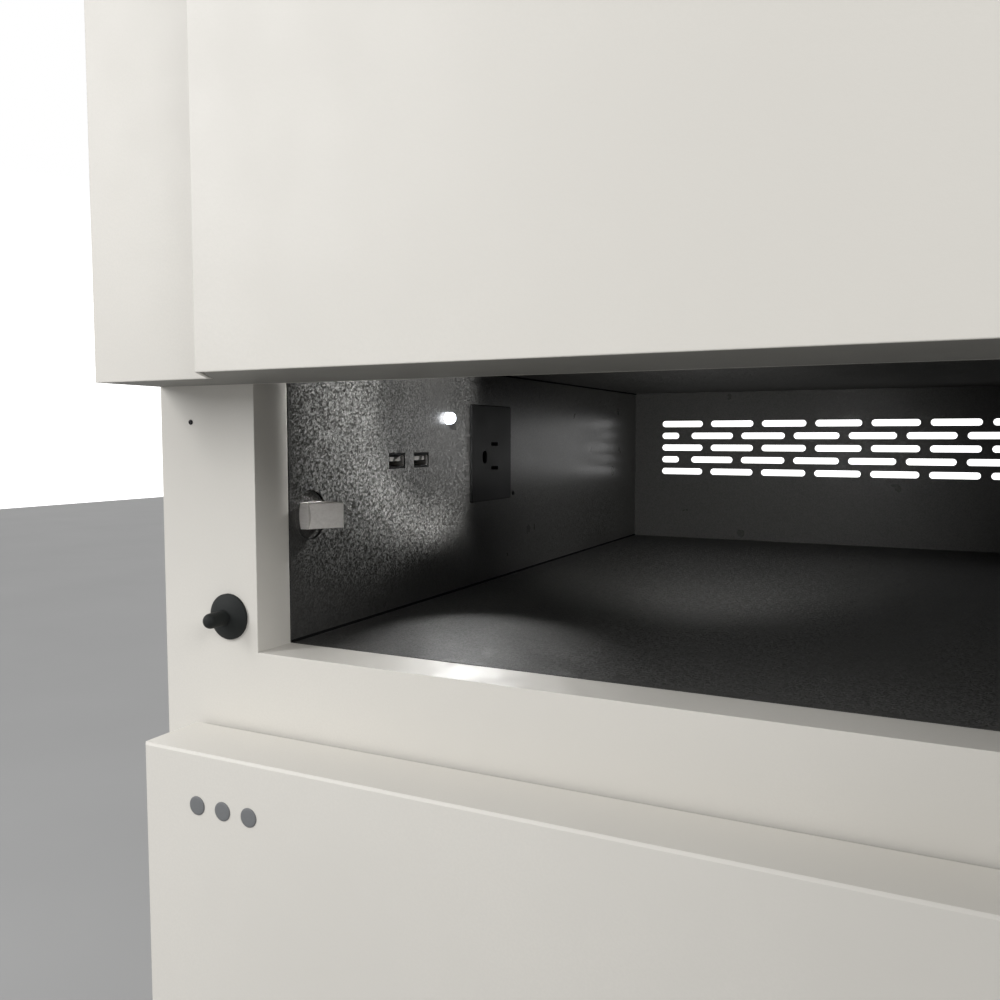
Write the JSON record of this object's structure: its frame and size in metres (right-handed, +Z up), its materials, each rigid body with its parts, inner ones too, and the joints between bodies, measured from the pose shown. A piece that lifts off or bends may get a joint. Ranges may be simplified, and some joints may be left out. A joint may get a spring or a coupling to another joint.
{
  "type": "phone charging kiosk",
  "caption": "Counter-top locker kiosk for charging phones: stacked bays with hinged doors, sprung latches, USB ports and mains outlets under a touch console.",
  "frame": {"origin": "centre of the base, on the surface that the feet stand on", "axes": "+Z up, -Y towards the person at the doors, +X to their right, on the hinge side"},
  "size_m": [0.4533, 0.7826, 0.7916],
  "materials": {
    "light_paint": "satin warm white powder coat",
    "liner_coat": "fine-textured charcoal powder coat",
    "soffit_coat": "dark grey powder coat",
    "satin_nickel": "satin nickel plate",
    "zinc_steel": "zinc plate",
    "black_rubber": "moulded rubber",
    "black_plastic": "moulded black plastic",
    "screen_glass": "black-backed gloss glass",
    "circuit_board": "solder mask",
    "bare_aluminium": "mill finish",
    "lamp_lens": "clear domed lens over a white lamp"
  },
  "bodies": {
    "cabinet": {"base_tray": "liner_coat", "bay_lamps": "lamp_lens", "buffer_flanges": "black_rubber", "card_reader": "screen_glass", "ceiling_pan_4": "liner_coat", "console_hood": "light_paint", "console_panel": "light_paint", "controller_board": "circuit_board", "display_bezel": "black_plastic", "display_board": "circuit_board", "display_glass": "screen_glass", "floor_pan_1": "liner_coat", "front_frame": "light_paint", "hinge_pins": "zinc_steel", "hood_soffit": "soffit_coat", "latch_housings": "liner_coat", "levelling_feet": "black_rubber", "liner_wall_left": "liner_coat", "liner_wall_right": "liner_coat", "mains_inlet": "black_plastic", "mains_outlet_1": "black_plastic", "mains_outlet_2": "black_plastic", "mains_outlet_3": "black_plastic", "mains_outlet_4": "black_plastic", "panel_screws": "zinc_steel", "pivot_plates": "light_paint", "power_supply": "bare_aluminium", "rear_panel": "liner_coat", "shelf_pan_2": "liner_coat", "shelf_pan_3": "liner_coat", "shelf_pan_4": "liner_coat", "side_panel_left": "light_paint", "side_panel_right": "light_paint", "top_cover": "light_paint", "usb_module_1": "black_plastic", "usb_module_2": "black_plastic", "usb_module_3": "black_plastic", "usb_module_4": "black_plastic", "wiring_loom": "black_plastic"},
    "door_1": {"door_shell_1": "light_paint", "door_inner_1": "liner_coat", "door_strike_1": "zinc_steel"},
    "bolt_1": {"latch_bolt_1": "satin_nickel"},
    "buffer_1": {"buffer_pin_1": "black_rubber"},
    "door_2": {"door_shell_2": "light_paint", "door_inner_2": "liner_coat", "door_strike_2": "zinc_steel"},
    "bolt_2": {"latch_bolt_2": "satin_nickel"},
    "buffer_2": {"buffer_pin_2": "black_rubber"},
    "door_3": {"door_shell_3": "light_paint", "door_inner_3": "liner_coat", "door_strike_3": "zinc_steel"},
    "bolt_3": {"latch_bolt_3": "satin_nickel"},
    "buffer_3": {"buffer_pin_3": "black_rubber"},
    "door_4": {"door_shell_4": "light_paint", "door_inner_4": "liner_coat", "door_strike_4": "zinc_steel"},
    "bolt_4": {"latch_bolt_4": "satin_nickel"},
    "buffer_4": {"buffer_pin_4": "black_rubber"},
    "rocker": {"power_rocker": "black_plastic"}
  },
  "joints": [
    {"name": "door_1_hinge", "type": "hinge", "parent": "cabinet", "child": "door_1", "pos_m": [0.167, -0.23325, 0.109], "axis": [0, 0, 1], "range_deg": [0, 105]},
    {"name": "bolt_1_slide", "type": "slide", "parent": "cabinet", "child": "bolt_1", "axis": [-1, 0, 0], "range_m": [0, 0.0105], "stiffness_N_per_m": 150, "springref_m": -0.01},
    {"name": "buffer_1_slide", "type": "slide", "parent": "cabinet", "child": "buffer_1", "axis": [0, 1, 0], "range_m": [0, 0.006], "stiffness_N_per_m": 150, "springref_m": -0.01},
    {"name": "door_2_hinge", "type": "hinge", "parent": "cabinet", "child": "door_2", "pos_m": [0.167, -0.23325, 0.229], "axis": [0, 0, 1], "range_deg": [0, 105]},
    {"name": "bolt_2_slide", "type": "slide", "parent": "cabinet", "child": "bolt_2", "axis": [-1, 0, 0], "range_m": [0, 0.0105], "stiffness_N_per_m": 150, "springref_m": -0.01},
    {"name": "buffer_2_slide", "type": "slide", "parent": "cabinet", "child": "buffer_2", "axis": [0, 1, 0], "range_m": [0, 0.006], "stiffness_N_per_m": 150, "springref_m": -0.01},
    {"name": "door_3_hinge", "type": "hinge", "parent": "cabinet", "child": "door_3", "pos_m": [0.167, -0.23325, 0.349], "axis": [0, 0, 1], "range_deg": [0, 105]},
    {"name": "bolt_3_slide", "type": "slide", "parent": "cabinet", "child": "bolt_3", "axis": [-1, 0, 0], "range_m": [0, 0.0105], "stiffness_N_per_m": 150, "springref_m": -0.01},
    {"name": "buffer_3_slide", "type": "slide", "parent": "cabinet", "child": "buffer_3", "axis": [0, 1, 0], "range_m": [0, 0.006], "stiffness_N_per_m": 150, "springref_m": -0.01},
    {"name": "door_4_hinge", "type": "hinge", "parent": "cabinet", "child": "door_4", "pos_m": [0.167, -0.23325, 0.469], "axis": [0, 0, 1], "range_deg": [-105, 0]},
    {"name": "bolt_4_slide", "type": "slide", "parent": "cabinet", "child": "bolt_4", "axis": [-1, 0, 0], "range_m": [0, 0.0105], "stiffness_N_per_m": 150, "springref_m": -0.01},
    {"name": "buffer_4_slide", "type": "slide", "parent": "cabinet", "child": "buffer_4", "axis": [0, 1, 0], "range_m": [0, 0.006], "stiffness_N_per_m": 150, "springref_m": -0.01},
    {"name": "rocker_tilt", "type": "hinge", "parent": "cabinet", "child": "rocker", "pos_m": [-0.165, 0.214, 0.066], "axis": [1, 0, 0], "range_deg": [-16, 0]}
  ]
}
